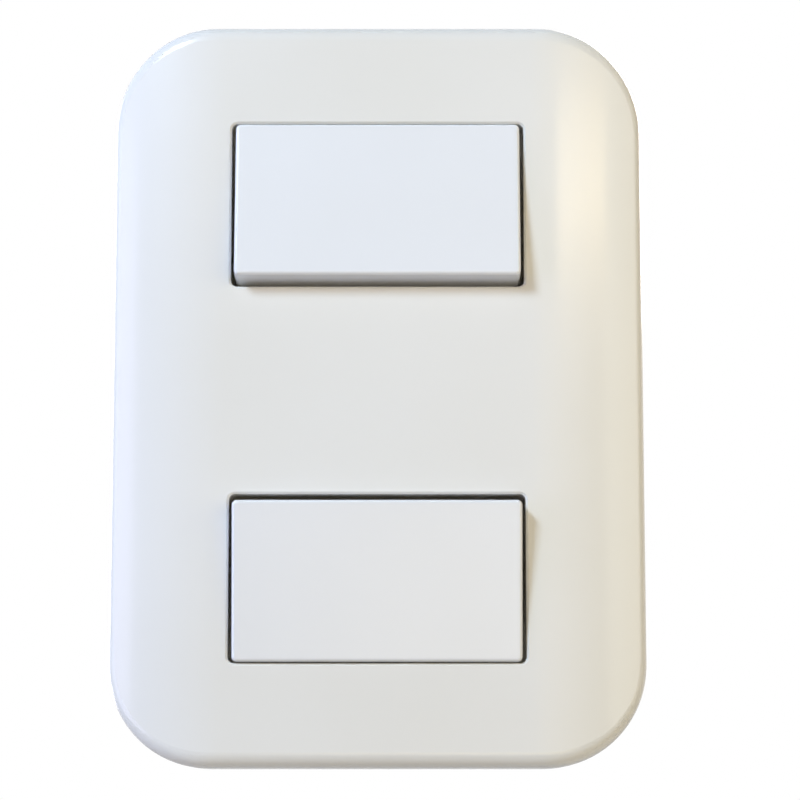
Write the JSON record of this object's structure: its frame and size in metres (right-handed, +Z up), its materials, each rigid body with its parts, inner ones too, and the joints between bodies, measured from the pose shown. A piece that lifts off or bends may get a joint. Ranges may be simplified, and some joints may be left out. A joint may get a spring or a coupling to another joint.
{
  "type": "double light switch",
  "caption": "Wall light switch with two wide rockers, one above the other, in a crowned press-fit plate on a support frame with switch modules behind.",
  "frame": {"origin": "middle of the two box screws, on the wall plane that the plate's rim rests on", "axes": "+Y into the wall, so the front faces -Y; +Z up, along the plate's length; +X to the right seen from the front"},
  "size_m": [0.076, 0.0334, 0.106],
  "materials": {
    "cover_plastic": "white moulded plastic, glossy",
    "rocker_plastic": "white moulded plastic, glossy",
    "frame_plastic": "pale grey moulded plastic, matt",
    "housing_plastic": "off-white moulded plastic, matt",
    "nylon": "natural nylon",
    "zinc_plated_steel": "zinc-plated steel",
    "spring_steel": "spring wire",
    "brass": "stamped brass",
    "contact_silver": "silver alloy contact"
  },
  "bodies": {
    "housing": {"cover_plate": "cover_plastic", "support_frame": "frame_plastic", "box_screws": "zinc_plated_steel", "upper_module_body": "housing_plastic", "upper_module_base": "housing_plastic", "upper_fixed_contact": "contact_silver", "upper_load_terminal": "brass", "upper_common_terminal": "brass", "upper_terminal_screws": "zinc_plated_steel", "upper_clamp_plates": "zinc_plated_steel", "lower_module_body": "housing_plastic", "lower_module_base": "housing_plastic", "lower_fixed_contact": "contact_silver", "lower_load_terminal": "brass", "lower_common_terminal": "brass", "lower_terminal_screws": "zinc_plated_steel", "lower_clamp_plates": "zinc_plated_steel"},
    "upper_rocker_unit": {"upper_rocker": "rocker_plastic", "upper_plunger_spring": "spring_steel"},
    "upper_plunger_unit": {"upper_plunger": "nylon"},
    "upper_lever_unit": {"upper_contact_lever": "brass", "upper_moving_contact": "contact_silver"},
    "lower_rocker_unit": {"lower_rocker": "rocker_plastic", "lower_plunger_spring": "spring_steel"},
    "lower_plunger_unit": {"lower_plunger": "nylon"},
    "lower_lever_unit": {"lower_contact_lever": "brass", "lower_moving_contact": "contact_silver"}
  },
  "joints": [
    {"name": "upper_rocker_hinge", "type": "hinge", "parent": "housing", "child": "upper_rocker_unit", "pos_m": [0, -0.00655, 0.02665], "axis": [1, 0, 0], "range_deg": [0, 13]},
    {"name": "upper_lever_pivot", "type": "hinge", "parent": "housing", "child": "upper_lever_unit", "pos_m": [0, 0.008, 0.02665], "axis": [1, 0, 0], "range_deg": [-16, 0]},
    {"name": "upper_plunger_slide", "type": "slide", "parent": "upper_rocker_unit", "child": "upper_plunger_unit", "axis": [0, -0.9936, 0.1132], "range_m": [0, 0.0006], "stiffness_N_per_m": 400, "springref_m": -0.002, "deforming": ["upper_plunger_spring"]},
    {"name": "lower_rocker_hinge", "type": "hinge", "parent": "housing", "child": "lower_rocker_unit", "pos_m": [0, -0.00655, -0.02665], "axis": [1, 0, 0], "range_deg": [-13, 0]},
    {"name": "lower_lever_pivot", "type": "hinge", "parent": "housing", "child": "lower_lever_unit", "pos_m": [0, 0.008, -0.02665], "axis": [1, 0, 0], "range_deg": [0, 16]},
    {"name": "lower_plunger_slide", "type": "slide", "parent": "lower_rocker_unit", "child": "lower_plunger_unit", "axis": [0, -0.9936, -0.1132], "range_m": [0, 0.0006], "stiffness_N_per_m": 400, "springref_m": -0.002, "deforming": ["lower_plunger_spring"]}
  ],
  "couplings": [
    {"joint": "upper_lever_pivot", "follows": "upper_rocker_hinge", "ratio": -1.2307},
    {"joint": "lower_lever_pivot", "follows": "lower_rocker_hinge", "ratio": -1.2307}
  ]
}
